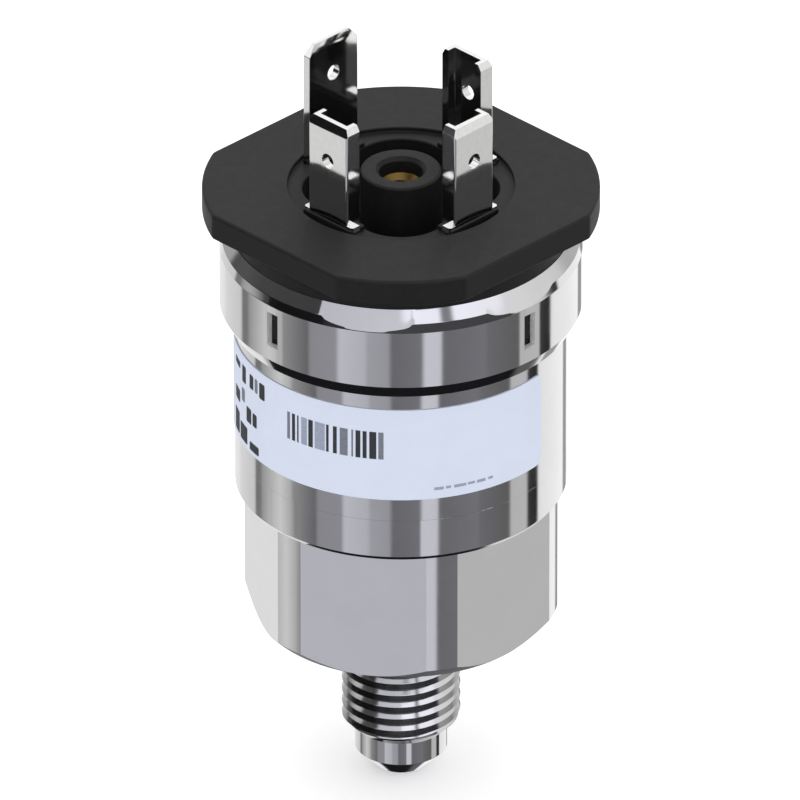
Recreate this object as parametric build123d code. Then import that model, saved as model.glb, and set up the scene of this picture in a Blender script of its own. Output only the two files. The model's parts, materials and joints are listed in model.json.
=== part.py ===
from build123d import *
import math
import os

os.makedirs("parts", exist_ok=True)

# Pressure transmitter, millimetres, +Z up.
# Origin: on the axis, in the plane of the hexagon's underside (the shoulder the thread starts from).
# Electrical contacts stand on the X and Y axes; the protective earth blade is on -X.

# ---------------------------------------------------------------- driving dimensions
HEX_AF = 27.0            # wrench size
HEX_CORNER_R = 14.8      # hexagon corners turned down
HEX_H = 13.7
HEX_CHAMFER = 1.3
BODY_R = 15.5            # 31 mm barrel
BARREL_CHAMFER = 0.3
WELD_Z = 18.0            # weld between connection and tube

THREAD_R = 5.556         # 7/16-20 UNF major radius
THREAD_L = 12.606
THREAD_END = 1.206       # end chamfer, 45 degrees
NOSE_R = 4.35
CONE_TOP = -14.9
NOSE_TIP = -16.9
NOSE_TIP_R = 2.35        # 45 degree cone
PORT_R = 1.5             # pressure port

POCKET_FLOOR = 7.5       # seat of the pressure cell
POCKET_R = 9.55
POCKET_TOP = 15.4
RECESS_R = 12.3
SPIGOT_R = 14.3
SPIGOT_TOP = 20.0

CELL_R = 9.5             # pressure cell, 19 mm
CELL_Z0 = 8.3
CELL_Z1 = 13.0
OIL_R = 6.2
OIL_TOP = 10.4
PIN_PCR = 4.2            # pin circle of the cell
PIN_N = 5
CELL_PIN_R = 0.23

TUBE_RI = 14.3
TUBE_TOP = 34.4
TUBE_RIM_R = 16.2
TUBE_RIM_Z = 33.2

RING_R = 16.9
RING_Z0 = 31.7           # flat underside
RING_FOOT_R = 16.15
RING_Z1 = 33.1           # top of the lower bevel
RING_Z2 = 38.86
LIP_R = 16.69            # edge between the steep and the shallow part of the rolled lip
LIP_Z = 39.71
RING_Z3 = 40.87          # top of the rolled lip
COLLAR_R = 15.85
STAKE_W = 1.4
STAKE_Z0 = 34.55
STAKE_Z1 = 38.15

PLUG_FLANGE_R = 18.5
PLUG_FLANGE_AF = 33.24
FLANGE_Z0 = 42.7
FLANGE_Z1 = 45.3
SHOULDER_Z0 = 35.0
RECESS_TOP_R = 10.55
RECESS_DEPTH = 0.45
WELL_HALF = 7.8
WELL_CORNER = 4.5
WELL_Z = 41.4
BOSS_R = 3.8
BOSS_TOP = 46.85
BOSS_HOLE_R = 2.05
RELIEF_HALF = 3.0

BUSH_Z0 = 38.2
BUSH_Z1 = 45.0
BUSH_R = 2.6
BUSH_HOLE_R = 1.25       # M3 core
BUSH_HOLE_Z = 39.2

CONTACT_FACE = 9.6       # outer face of each contact from the axis
CONTACT_W = 5.05
CONTACT_T = 0.8
CONTACT_DEPTH = 1.65
CONTACT_TOP = 55.6
EARTH_FACE = 9.65
EARTH_TOP = 57.4
EARTH_W = 6.3
TAIL_Z = 36.6
TAIL_W = 2.6

LABEL_Z0 = 20.3
LABEL_Z1 = 29.9
LABEL_T = 0.1
LABEL_A0 = -268.4        # degrees from +X
LABEL_A1 = 11.6

MAIN_Z = 22.0            # main board underside
BOARD_T = 1.2
MAIN_R = 12.9
SMALL_Z = 16.2
SMALL_T = 0.8
SMALL_R = 8.8


# ---------------------------------------------------------------- helpers
def turned(*pts):
    """Solid of revolution about Z from (radius, height) corners."""
    line = Polyline(*[(r, 0, z) for r, z in pts], close=True)
    return revolve(make_face(line), Axis.Z, 360)


def disc(r, z0, z1, x=0.0, y=0.0):
    return Pos(x, y, z0) * Cylinder(r, z1 - z0, align=(Align.CENTER, Align.CENTER, Align.MIN))


def block(x0, x1, y0, y1, z0, z1):
    return Pos((x0 + x1) / 2, (y0 + y1) / 2, (z0 + z1) / 2) * Box(x1 - x0, y1 - y0, z1 - z0)


def prism(points, z0, z1):
    """Upright prism over a closed polygon in XY."""
    face = make_face(Polyline(*[(x, y, z0) for x, y in points], close=True))
    return extrude(face, z1 - z0, dir=(0, 0, 1))


def about_z(shape, deg):
    return Rot(0, 0, deg) * shape


def save(shape, name):
    solids = list(shape.solids())
    out = solids[0] if len(solids) == 1 else Compound(children=solids)
    export_step(out, "parts/" + name + ".step")
    print(name, len(solids), round(sum(s.volume for s in solids), 3))
    return out


# ---------------------------------------------------------------- pressure side
# connection: hexagon, threaded shank, flare nose, barrel foot, spigot and cell pocket, turned from one bar
outer = turned(
    (0, NOSE_TIP), (NOSE_TIP_R, NOSE_TIP), (NOSE_R, CONE_TOP), (NOSE_R, -THREAD_L),
    (THREAD_R, -THREAD_L + THREAD_END), (THREAD_R, 0), (0, 0))
hex_apothem = HEX_AF / 2
hex_pts = []
for k in range(6):
    a = math.radians(30 + 60 * k)
    hex_pts.append((hex_apothem / math.cos(math.pi / 6) * math.cos(a),
                    hex_apothem / math.cos(math.pi / 6) * math.sin(a)))
hexagon = prism(hex_pts, 0, HEX_H)
hex_turn = turned((0, 0), (HEX_CORNER_R - HEX_CHAMFER, 0), (HEX_CORNER_R, HEX_CHAMFER),
                  (HEX_CORNER_R, HEX_H), (0, HEX_H))
hexagon = hexagon & hex_turn
foot = turned((0, HEX_H), (BODY_R - BARREL_CHAMFER, HEX_H), (BODY_R, HEX_H + BARREL_CHAMFER),
              (BODY_R, WELD_Z), (SPIGOT_R, WELD_Z), (SPIGOT_R, SPIGOT_TOP - 0.3),
              (SPIGOT_R - 0.3, SPIGOT_TOP), (0, SPIGOT_TOP))
inner = turned((0, NOSE_TIP - 1), (PORT_R, NOSE_TIP - 1), (PORT_R, 6.9), (6.4, POCKET_FLOOR),
               (POCKET_R, POCKET_FLOOR), (POCKET_R, POCKET_TOP), (RECESS_R, POCKET_TOP),
               (RECESS_R, SPIGOT_TOP + 1), (0, SPIGOT_TOP + 1))
process_connection = (outer + hexagon + foot) - inner
save(process_connection, "process_connection")

# pressure cell: welded stack held in the pocket
diaphragm_ring = turned((6.4, POCKET_FLOOR), (CELL_R, POCKET_FLOOR), (CELL_R, 8.2), (6.4, 8.2))
save(diaphragm_ring, "diaphragm_ring")

# corrugated foil, flat at the welded rim
dia_low = [(0, 8.2), (1.6, 8.2), (2.0, 8.32), (2.4, 8.32), (2.8, 8.2), (3.4, 8.2), (3.8, 8.32),
           (4.2, 8.32), (4.6, 8.2), (9.2, 8.2)]
dia_high = [(r, z + 0.08) for r, z in reversed(dia_low)]
sensor_diaphragm = turned(*(dia_low + dia_high))
save(sensor_diaphragm, "sensor_diaphragm")

# cell header with oil cavity, seal groove, pin holes, fill hole
header = turned((0, OIL_TOP), (OIL_R, OIL_TOP), (OIL_R, 8.28), (CELL_R, 8.28), (CELL_R, 9.4),
                (8.3, 9.4), (8.3, 11.2), (CELL_R, 11.2), (CELL_R, CELL_Z1), (0, CELL_Z1))
pin_xy = []
for k in range(PIN_N):
    a = math.radians(90 + 360 / PIN_N * k)
    pin_xy.append((PIN_PCR * math.cos(a), PIN_PCR * math.sin(a)))
for x, y in pin_xy:
    header -= disc(0.8, OIL_TOP - 1, CELL_Z1 + 1, x, y)
FILL_XY = (PIN_PCR * math.cos(math.radians(270)), PIN_PCR * math.sin(math.radians(270)))
header -= disc(0.45, OIL_TOP - 1, CELL_Z1 + 1, *FILL_XY)
header -= disc(0.75, 11.6, CELL_Z1 + 1, *FILL_XY)
save(header, "cell_header")

glass = None
for x, y in pin_xy:
    g = disc(0.8, OIL_TOP, CELL_Z1, x, y) - disc(CELL_PIN_R, OIL_TOP - 1, CELL_Z1 + 1, x, y)
    glass = g if glass is None else glass + g
save(glass, "glass_seals")

pins = None
for x, y in pin_xy:
    p = disc(CELL_PIN_R, 9.6, SMALL_Z + SMALL_T + 0.5, x, y)
    pins = p if pins is None else pins + p
save(pins, "cell_pins")

fill_ball = Pos(FILL_XY[0], FILL_XY[1], 11.6 + 0.62) * Sphere(0.74)
fill_ball = fill_ball & disc(0.74, 11.6, CELL_Z1, *FILL_XY)
save(fill_ball, "fill_ball")

# ceramic filler keeps the oil volume small
filler = turned((2.6, 8.75), (6.0, 8.75), (6.0, OIL_TOP), (2.6, OIL_TOP))
for x, y in pin_xy:
    filler -= disc(0.55, 8, 11, x, y)
filler -= disc(0.55, 8, 11, *FILL_XY)
save(filler, "oil_filler")

chip_base = block(-1.5, 1.5, -1.5, 1.5, 9.5, OIL_TOP) - disc(0.4, 9, 11)
save(chip_base, "chip_pedestal")
chip = block(-1.25, 1.25, -1.25, 1.25, 9.1, 9.5)
chip -= Pos(0, 0, 9.5) * Rot(0, 0, 45) * Cone(0.85, 0.5, 0.32, align=(Align.CENTER, Align.CENTER, Align.MAX))
save(chip, "sensor_chip")

# seal squeezed between the groove floor and the pocket wall
ring_face = Pos(8.925, 0, 10.3) * (Rot(90, 0, 0) * Circle(0.72))
seal = revolve(ring_face, Axis.Z, 360)
seal = seal & turned((8.3, 9.4), (POCKET_R, 9.4), (POCKET_R, 11.2), (8.3, 11.2))
save(seal, "cell_seal")

# screwed retaining ring with four spanner notches
retainer = turned((6.6, CELL_Z1), (POCKET_R, CELL_Z1), (POCKET_R, 14.9), (POCKET_R - 0.3, 15.2),
                  (6.6, 15.2))
for k in range(4):
    retainer -= about_z(block(7.6, 11, -0.9, 0.9, 14.0, 16), 45 + 90 * k)
save(retainer, "retaining_ring")

# ---------------------------------------------------------------- electronics
spacer = turned((7.9, 15.2), (8.8, 15.2), (8.8, SMALL_Z), (7.9, SMALL_Z))
save(spacer, "board_spacer")

LINK_XY = [(-4.0 + 2.0 * k, -6.2) for k in range(5)]
small_board = disc(SMALL_R, SMALL_Z, SMALL_Z + SMALL_T)
for x, y in pin_xy:
    small_board -= disc(0.3, SMALL_Z - 1, SMALL_Z + 2, x, y)
for x, y in LINK_XY:
    small_board -= disc(0.35, SMALL_Z - 1, SMALL_Z + 2, x, y)
save(small_board, "sensor_board")

SMALL_TOP = SMALL_Z + SMALL_T
trim_chip = block(-2.0, 2.0, -1.6, 2.4, SMALL_TOP, SMALL_TOP + 0.9)
trim_chip = chamfer(trim_chip.edges().filter_by(Axis.Z), 0.2)
save(trim_chip, "trimming_chip")
bits = None
for x, y, w, d, h in [(-5.6, 0.6, 1.0, 2.0, 0.55), (5.6, 0.6, 1.0, 2.0, 0.55), (-6.4, -3.0, 1.0, 2.0, 0.7),
                      (6.4, -3.0, 1.0, 2.0, 0.7), (0.0, 6.2, 2.0, 1.0, 0.8), (-4.6, 5.2, 1.6, 0.8, 0.5),
                      (4.6, 5.2, 1.6, 0.8, 0.5)]:
    b = block(x - w / 2, x + w / 2, y - d / 2, y + d / 2, SMALL_TOP, SMALL_TOP + h)
    bits = b if bits is None else bits + b
save(bits, "sensor_board_parts")

strip = block(-5.2, 5.2, -7.3, -5.1, SMALL_TOP, SMALL_TOP + 2.5)
for x, y in LINK_XY:
    strip -= disc(0.32, SMALL_TOP - 1, SMALL_TOP + 4, x, y)
save(strip, "link_strip")
link = None
for x, y in LINK_XY:
    p = disc(0.32, SMALL_Z - 0.5, MAIN_Z + BOARD_T + 0.7, x, y)
    link = p if link is None else link + p
save(link, "link_pins")

WIRE_R = 0.5
WIRE_FOOT = 9.8
CONTACT_ANGLES = {"contact_1": 0, "contact_2": -90, "contact_3": 90, "earth_contact": 180}
main_board = disc(MAIN_R, MAIN_Z, MAIN_Z + BOARD_T)
for x, y in LINK_XY:
    main_board -= disc(0.42, MAIN_Z - 1, MAIN_Z + 3, x, y)
main_board -= block(-1.0, 1.0, 12.3, 14, MAIN_Z - 1, MAIN_Z + 3)
save(main_board, "main_board")

MAIN_TOP = MAIN_Z + BOARD_T
amp = block(-2.5, 2.5, -2.2, 2.2, MAIN_TOP, MAIN_TOP + 1.0)
amp = chamfer(amp.edges().group_by(Axis.Z)[-1], 0.2)
save(amp, "amplifier_chip")
leads = None
for k in range(7):
    for s in (-1, 1):
        x = -1.95 + 0.65 * k
        leg = block(x - 0.12, x + 0.12, min(s * 2.2, s * 3.1), max(s * 2.2, s * 3.1), MAIN_TOP, MAIN_TOP + 0.25)
        leads = leg if leads is None else leads + leg
save(leads, "amplifier_leads")
surge = block(6.4, 9.0, 3.6, 8.0, MAIN_TOP, MAIN_TOP + 2.2)
surge = chamfer(surge.edges().group_by(Axis.Z)[-1], 0.25)
save(surge, "surge_suppressor")
can = disc(2.0, MAIN_TOP, MAIN_TOP + 5.4, -7.4, 6.2)
can = fillet(can.edges().group_by(Axis.Z)[-1], 0.3)
save(can, "filter_capacitor")
bits = None
for x, y, w, d, h in [(-9.6, -3.4, 1.25, 2.0, 0.6), (-9.0, -6.4, 1.25, 2.0, 0.6), (-6.0, -9.2, 2.0, 1.25, 0.6),
                      (6.0, -9.2, 2.0, 1.25, 0.6), (9.2, -5.4, 1.6, 3.2, 1.2), (3.6, 9.6, 3.2, 1.6, 1.1),
                      (-2.6, 9.8, 2.0, 1.25, 0.6), (4.6, 4.6, 1.25, 2.0, 0.6), (-3.4, 4.9, 2.0, 1.25, 0.6),
                      (3.0, -10.2, 1.6, 1.6, 0.7), (-2.4, -10.2, 2.0, 1.25, 0.6)]:
    b = block(x - w / 2, x + w / 2, y - d / 2, y + d / 2, MAIN_TOP, MAIN_TOP + h)
    bits = b if bits is None else bits + b
save(bits, "main_board_parts")

# insulating cup between boards and tube, with a ledge and four snap noses for the main board
cup = turned((11.4, SPIGOT_TOP), (14.2, SPIGOT_TOP), (14.2, 32.6), (13.0, 32.6), (13.0, MAIN_Z),
             (11.4, MAIN_Z))
for k in range(4):
    nose = turned((12.3, MAIN_TOP), (13.0, MAIN_TOP), (13.0, MAIN_TOP + 1.2))
    nose = nose & about_z(block(9, 15, -1.6, 1.6, MAIN_TOP - 1, MAIN_TOP + 3), 45 + 90 * k)
    cup += nose
save(cup, "insulating_cup")


def lead(deg, face=CONTACT_FACE):
    """Insulated lead from the main board up to the inner side of a contact tail."""
    r = face - CONTACT_T - WIRE_R
    p = [(WIRE_FOOT, 0, MAIN_TOP), (WIRE_FOOT, 0, MAIN_TOP + 5.0), (r, 0, MAIN_TOP + 9.6), (r, 0, TAIL_Z + 1.5)]
    path = FilletPolyline(*p, radius=3.0)
    start = Plane(origin=p[0], z_dir=(0, 0, 1))
    wire = sweep(start * Circle(WIRE_R), path=path)
    return about_z(wire, deg)


wires = lead(0) + lead(-90) + lead(90)
save(wires, "signal_wires")
save(lead(180, EARTH_FACE), "earth_wire")

# ---------------------------------------------------------------- housing
# drawn tube with an outward rim that the clamp ring holds from below
tube = turned((TUBE_RI, WELD_Z), (BODY_R, WELD_Z), (BODY_R, TUBE_RIM_Z), (TUBE_RIM_R, TUBE_RIM_Z),
              (TUBE_RIM_R, TUBE_TOP), (TUBE_RI, TUBE_TOP))
save(tube, "housing_tube")

# flat gasket between tube rim and plug shoulder
gasket = turned((14.45, TUBE_TOP), (16.15, TUBE_TOP), (16.15, SHOULDER_Z0), (14.45, SHOULDER_Z0))
save(gasket, "plug_gasket")

# clamp ring: bevelled underside, inner lip under the tube rim, four stake slots, top edge rolled over the plug
RING_RI = 16.25
ring = turned((BODY_R, RING_Z0), (RING_FOOT_R, RING_Z0), (RING_R, RING_Z1), (RING_R, RING_Z2), (LIP_R, LIP_Z),
              (COLLAR_R + 0.06, RING_Z3), (COLLAR_R, RING_Z3), (COLLAR_R, 39.6), (RING_RI, 38.75),
              (RING_RI, TUBE_RIM_Z), (BODY_R, TUBE_RIM_Z))
for k in range(4):
    slot = block(15.9, 18, -STAKE_W / 2, STAKE_W / 2, STAKE_Z0, STAKE_Z1)
    ring -= about_z(slot, 90 * k)
save(ring, "clamp_ring")

# ---------------------------------------------------------------- plug
# one moulding: skirt, shoulder, collar, four-sided flange, recess, well, centre boss and contact pads
body = turned((12.4, 32.8), (14.2, 32.8), (14.2, SHOULDER_Z0), (16.2, SHOULDER_Z0), (16.2, 38.7),
              (COLLAR_R, 39.55), (COLLAR_R, FLANGE_Z0), (0, FLANGE_Z0), (0, 38.4), (12.4, 38.4))
body += disc(COLLAR_R, 39.55, FLANGE_Z0)
plate = disc(PLUG_FLANGE_R, FLANGE_Z0, FLANGE_Z1) & block(
    -PLUG_FLANGE_AF / 2, PLUG_FLANGE_AF / 2, -PLUG_FLANGE_AF / 2, PLUG_FLANGE_AF / 2, FLANGE_Z0, FLANGE_Z1)
plate = fillet(plate.edges().filter_by(Axis.Z), 0.6)
plate = fillet(plate.edges().group_by(Axis.Z)[-1], 0.3)
plate = fillet(plate.edges().group_by(Axis.Z)[0], 0.25)
body += plate
body -= disc(RECESS_TOP_R, FLANGE_Z1 - RECESS_DEPTH, FLANGE_Z1 + 2)
well = extrude(Pos(0, 0, WELL_Z) * RectangleRounded(2 * WELL_HALF, 2 * WELL_HALF, WELL_CORNER), 8)
body -= well
body += disc(BOSS_R, 39.6, BOSS_TOP)
PAD_TOP = FLANGE_Z1 - 0.02
for deg in CONTACT_ANGLES.values():
    pad = block(7.8, 9.75, -3.15, 3.15, 41.6, PAD_TOP)
    pad = fillet(pad.edges().group_by(Axis.Z)[-1], 0.15)
    body += about_z(pad, deg)
    # clearance in front of the contact's face
    relief = disc(10.45, 43.9, 46) & block(9.35, 11, -RELIEF_HALF, RELIEF_HALF, 43.9, 46)
    body -= about_z(relief, deg)
body -= disc(BUSH_R, BUSH_Z0, BUSH_Z1)
body -= disc(BOSS_HOLE_R, BUSH_Z1 - 0.5, BOSS_TOP + 1)
body -= Pos(0, 0, BOSS_TOP) * Cone(BOSS_HOLE_R, BOSS_HOLE_R + 0.4, 0.4, align=(Align.CENTER, Align.CENTER, Align.MAX))

# ---------------------------------------------------------------- contacts
EAR_Z0 = PAD_TOP - 0.3
EAR_Z1 = PAD_TOP + 0.25


def channel():
    """Folded contact on the +X side: web outside, two wings turned inwards, narrow tail below."""
    w = CONTACT_W / 2
    f, t, d = CONTACT_FACE, CONTACT_T, CONTACT_DEPTH
    pts = [(f, -w), (f, w), (f - d, w), (f - d, w - t), (f - t, w - t), (f - t, -w + t), (f - d, -w + t), (f - d, -w)]
    c = prism(pts, 42.6, CONTACT_TOP)
    c = fillet(c.edges().filter_by(Axis.Z).group_by(Axis.X)[-1], 0.2)
    # chamfered lead-in: outer edge of the web, and the wing tips
    wedge = make_face(Polyline((f - 0.3, -6, CONTACT_TOP), (f + 0.3, -6, CONTACT_TOP), (f + 0.3, -6, CONTACT_TOP - 1.8),
                               close=True))
    c -= extrude(wedge, 12, dir=(0, 1, 0))
    for s in (-1, 1):
        side = make_face(Polyline((5, s * (w - 0.35), CONTACT_TOP), (5, s * (w + 0.35), CONTACT_TOP),
                                  (5, s * (w + 0.35), CONTACT_TOP - 1.2), close=True))
        c -= extrude(side, 6, dir=(1, 0, 0))
    c -= Pos(f, 0, FLANGE_Z1 + 6.2) * Rot(0, 90, 0) * Cylinder(0.75, 4)
    ears = block(f - 1.0, f, -w - 0.65, w + 0.65, EAR_Z0, EAR_Z1)
    c += ears - block(f - 3, f - t, -w + t, w - t, 40, 50)
    c += block(f - t, f, -TAIL_W / 2, TAIL_W / 2, TAIL_Z, 43)
    c -= Pos(f, 0, TAIL_Z + 1.2) * Rot(0, 90, 0) * Cylinder(0.45, 4)
    return c


def blade():
    w = EARTH_W / 2
    f = EARTH_FACE
    c = block(f - CONTACT_T, f, -w, w, 42.6, EARTH_TOP)
    tips = [e for e in c.edges().group_by(Axis.Z)[-1]]
    long = [e for e in tips if abs(e.length - EARTH_W) < 1e-6]
    c = chamfer(long, 0.25)
    for s in (-1, 1):
        corner = make_face(Polyline((5, s * (w - 1.0), EARTH_TOP + 0.01), (5, s * (w + 0.1), EARTH_TOP + 0.01),
                                    (5, s * (w + 0.1), EARTH_TOP - 1.2), close=True))
        c -= extrude(corner, 8, dir=(1, 0, 0))
    c -= Pos(f, 0, 53.6) * Rot(0, 90, 0) * Cylinder(0.75, 4)
    c += block(f - CONTACT_T, f, -TAIL_W / 2, TAIL_W / 2, TAIL_Z, 43)
    c -= Pos(f, 0, TAIL_Z + 1.2) * Rot(0, 90, 0) * Cylinder(0.45, 4)
    return c


for name, deg in CONTACT_ANGLES.items():
    piece = about_z(blade() if name == "earth_contact" else channel(), deg)
    body -= piece
    save(piece, name)
save(body, "plug_base")

# knurled brass insert for the coupling screw
bush = turned((BUSH_HOLE_R, BUSH_HOLE_Z), (BUSH_HOLE_R, BUSH_Z1 - 0.3), (BUSH_HOLE_R + 0.3, BUSH_Z1),
              (BUSH_R, BUSH_Z1), (BUSH_R, 42.4), (BUSH_R - 0.4, 42.4), (BUSH_R - 0.4, 41.2),
              (BUSH_R, 41.2), (BUSH_R, BUSH_Z0), (0, BUSH_Z0), (0, BUSH_HOLE_Z))
save(bush, "threaded_bush")

# ---------------------------------------------------------------- label
film = turned((BODY_R, LABEL_Z0), (BODY_R + LABEL_T, LABEL_Z0), (BODY_R + LABEL_T, LABEL_Z1), (BODY_R, LABEL_Z1))
gap0 = LABEL_A1
gap1 = LABEL_A0 + 360
cut_pts = [(0, 0)]
for k in range(5):
    a = math.radians(gap0 + (gap1 - gap0) * k / 4)
    cut_pts.append((20 * math.cos(a), 20 * math.sin(a)))
film -= prism(cut_pts, LABEL_Z0 - 1, LABEL_Z1 + 1)
save(film, "label")
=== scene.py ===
import json
import math

import bmesh
import bpy
from mathutils import Matrix, Vector


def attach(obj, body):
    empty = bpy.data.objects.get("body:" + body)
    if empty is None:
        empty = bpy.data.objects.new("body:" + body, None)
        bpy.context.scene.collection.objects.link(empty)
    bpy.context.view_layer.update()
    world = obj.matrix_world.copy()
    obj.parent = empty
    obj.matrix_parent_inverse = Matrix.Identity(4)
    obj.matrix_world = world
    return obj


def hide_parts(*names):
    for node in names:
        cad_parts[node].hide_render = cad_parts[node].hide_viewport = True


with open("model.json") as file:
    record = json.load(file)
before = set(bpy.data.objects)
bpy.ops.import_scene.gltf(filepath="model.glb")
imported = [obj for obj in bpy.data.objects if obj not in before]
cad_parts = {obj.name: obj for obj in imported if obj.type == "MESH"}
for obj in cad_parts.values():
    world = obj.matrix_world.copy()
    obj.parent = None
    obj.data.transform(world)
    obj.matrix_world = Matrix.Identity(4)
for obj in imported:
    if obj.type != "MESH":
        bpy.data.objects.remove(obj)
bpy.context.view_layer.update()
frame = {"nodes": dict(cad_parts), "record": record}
MM = 0.001
scene = bpy.context.scene

# ------------------------------------------------------------------ camera: long lens, 30 degrees above, 45 degrees round
AZ, EL = math.radians(45), math.radians(30)
BACK = Vector((math.sin(AZ) * math.cos(EL), -math.cos(AZ) * math.cos(EL), math.sin(EL)))
RIGHT = Vector((math.cos(AZ), math.sin(AZ), 0))
FRONT = Vector((math.sin(AZ), -math.cos(AZ), 0))
LENS = 1600.0
FRAME_W = 74.56 * MM
target = RIGHT * (-0.093 * MM) + Vector((0, 0, 22.05 * MM))
cam_data = bpy.data.cameras.new("camera")
cam_data.lens = LENS
cam_data.sensor_width = 36.0
cam = bpy.data.objects.new("camera", cam_data)
scene.collection.objects.link(cam)
cam.location = target + BACK * (FRAME_W / 2 / (18.0 / LENS))
cam.rotation_mode = "QUATERNION"
cam.rotation_quaternion = (-BACK).to_track_quat("-Z", "Y")
cam_data.clip_start, cam_data.clip_end = 0.05, 20.0
scene.camera = cam
scene.view_settings.view_transform = "Standard"


# ------------------------------------------------------------------ small node helper
class Tree:
    def __init__(self, tree):
        self.t = tree
        self.t.nodes.clear()

    def new(self, kind, ins=None, **props):
        n = self.t.nodes.new(kind)
        for k, v in props.items():
            setattr(n, k, v)
        for k, v in (ins or {}).items():
            self.put(n, k, v)
        return n

    def put(self, node, key, value):
        sock = node.inputs[key]
        if isinstance(value, bpy.types.NodeSocket):
            self.t.links.new(value, sock)
        elif isinstance(value, bpy.types.Node):
            self.t.links.new(value.outputs[0], sock)
        else:
            sock.default_value = value

    def math(self, op, a, b=None, c=None, clamp=False):
        n = self.new("ShaderNodeMath", operation=op, use_clamp=clamp)
        self.put(n, 0, a)
        if b is not None:
            self.put(n, 1, b)
        if c is not None:
            self.put(n, 2, c)
        return n.outputs[0]

    def vmath(self, op, a, b=None):
        n = self.new("ShaderNodeVectorMath", operation=op)
        self.put(n, 0, a)
        if b is not None:
            self.put(n, 1, b)
        return n

    def remap(self, v, a, b, c, d, smooth=True):
        n = self.new("ShaderNodeMapRange", {"Value": v, "From Min": a, "From Max": b, "To Min": c, "To Max": d})
        n.interpolation_type = "SMOOTHSTEP" if smooth else "LINEAR"
        return n.outputs[0]

    def ramp(self, fac, stops, mode="LINEAR"):
        n = self.new("ShaderNodeValToRGB", {"Fac": fac})
        r = n.color_ramp
        r.interpolation = mode
        while len(r.elements) > 1:
            r.elements.remove(r.elements[-1])
        for k, (p, c) in enumerate(stops):
            e = r.elements[0] if k == 0 else r.elements.new(p)
            e.position = p
            e.color = (c, c, c, 1) if not isinstance(c, tuple) else (*c, 1)
        return n.outputs[0]

    def mix(self, fac, a, b):
        n = self.new("ShaderNodeMix", data_type="RGBA")
        self.put(n, 0, fac)
        for k, v in ((6, a), (7, b)):
            if isinstance(v, (tuple, list)):
                v = (*v[:3], 1)
            self.put(n, k, v)
        return n.outputs[2]


# ------------------------------------------------------------------ studio: soft boxes and black flags round the part
# Each card stands round the part: from, to in degrees round it (0 towards the camera, + to its right), light level at
# its two edges.
CARDS = [
    (-180, -150, 0.90, 0.88), (-150, -122, 0.80, 0.70), (-122, -114, 0.20, 0.22), (-114, -92, 0.36, 0.72),
    (-92, -82, 0.68, 0.50), (-82, -61, 0.32, 0.16), (-61, -41, 0.31, 0.33), (-41, -22, 0.63, 0.54),
    (-22, -7, 0.42, 0.38), (-7, 14, 0.17, 0.21), (14, 26, 0.70, 0.68), (26, 56, 0.17, 0.21), (56, 82, 0.18, 0.13),
    (82, 99, 0.56, 0.58), (98.5, 110.5, 0.05, 0.02), (110.5, 153, 0.94, 1.06), (153, 165, 0.34, 0.34),
    (165, 180, 1.10, 0.95)]
# The same round the part for the boxes hung above it, and for the gap between the two.
CEILING = [(-180, -142, 0.95, 0.80), (-142, -100, 0.14, 0.07), (-100, -53, 0.06, 0.05), (-53, -2, 0.60, 0.70),
           (-2, 27, 1.10, 1.08), (27, 35, 0.24, 0.24), (35, 68, 1.08, 1.02), (68, 130, 0.84, 0.66), (130, 180, 0.98, 0.98)]
GAP = [(-180, -128, 0.50, 0.40), (-128, -106, 0.09, 0.06), (-106, -48, 0.007, 0.008), (-48, -8, 0.03, 0.05),
       (-8, 72, 0.065, 0.065), (72, 112, 0.80, 0.62), (112, 124, 0.58, 0.52), (124, 180, 0.50, 0.60)]

# And what the floor gives back to light that has met the part twice.
FLOOR = [(-180, -87, 0.98, 0.98), (-87, -57, 0.035, 0.03), (-57, 1, 0.68, 0.80), (1, 14, 0.52, 0.52), (14, 28, 0.95, 1.0),
         (28, 34, 0.20, 0.20), (34, 180, 1.05, 0.90)]


def card_ramp(t, fac, cards, soft):
    stops = []
    for k, (a, b, first, last) in enumerate(cards):
        lo, hi = a / 360 + 0.5, b / 360 + 0.5
        pad = min(soft / 360, (hi - lo) / 2.5)
        stops.append((lo + (pad if k else 0.0), first))
        stops.append((hi - (pad if k < len(cards) - 1 else 0.0), last))
    cut = 2 * (len(cards) // 2) - 1
    if len(stops) <= 32:
        return t.ramp(fac, stops)
    split = stops[cut][0]
    low = t.ramp(fac, stops[:cut + 1])
    high = t.ramp(fac, stops[cut:])
    return t.mix(t.math("GREATER_THAN", fac, split), low, high)


world = bpy.data.worlds.new("studio")
scene.world = world
world.use_nodes = True
w = Tree(world.node_tree)
direction = w.new("ShaderNodeTexCoord").outputs["Generated"]
side = w.vmath("DOT_PRODUCT", direction, tuple(RIGHT)).outputs["Value"]
ahead = w.vmath("DOT_PRODUCT", direction, tuple(FRONT)).outputs["Value"]
up = w.new("ShaderNodeSeparateXYZ", {0: direction}).outputs[2]
turn = w.math("ADD", w.math("DIVIDE", w.math("ARCTAN2", side, ahead), 2 * math.pi), 0.5)
height = w.math("MULTIPLY", w.math("ARCSINE", up), 180 / math.pi)
low_cards = card_ramp(w, turn, CARDS, 0.9)
high_cards = card_ramp(w, turn, CEILING, 1.5)
gap_cards = card_ramp(w, turn, GAP, 2.0)
cards = w.mix(w.remap(height, -14, -10, 0, 1), low_cards, gap_cards)
cards = w.mix(w.remap(height, 6, 11, 0, 1), cards, high_cards)
# on the left the lower part of the upper box is flagged off along a slope
phi = w.math("MULTIPLY_ADD", turn, 360.0, -180.0)
slope = w.remap(w.math("SUBTRACT", height, w.math("MULTIPLY_ADD", phi, 0.447, 64.2)), -0.8, 0.8, 0, 1)
window = w.math("MULTIPLY", w.remap(phi, -90, -86, 1, 0), w.remap(phi, -142, -136, 0, 1))
cards = w.mix(w.math("MULTIPLY", slope, window), cards, (0.92, 0.92, 0.92))
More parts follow.
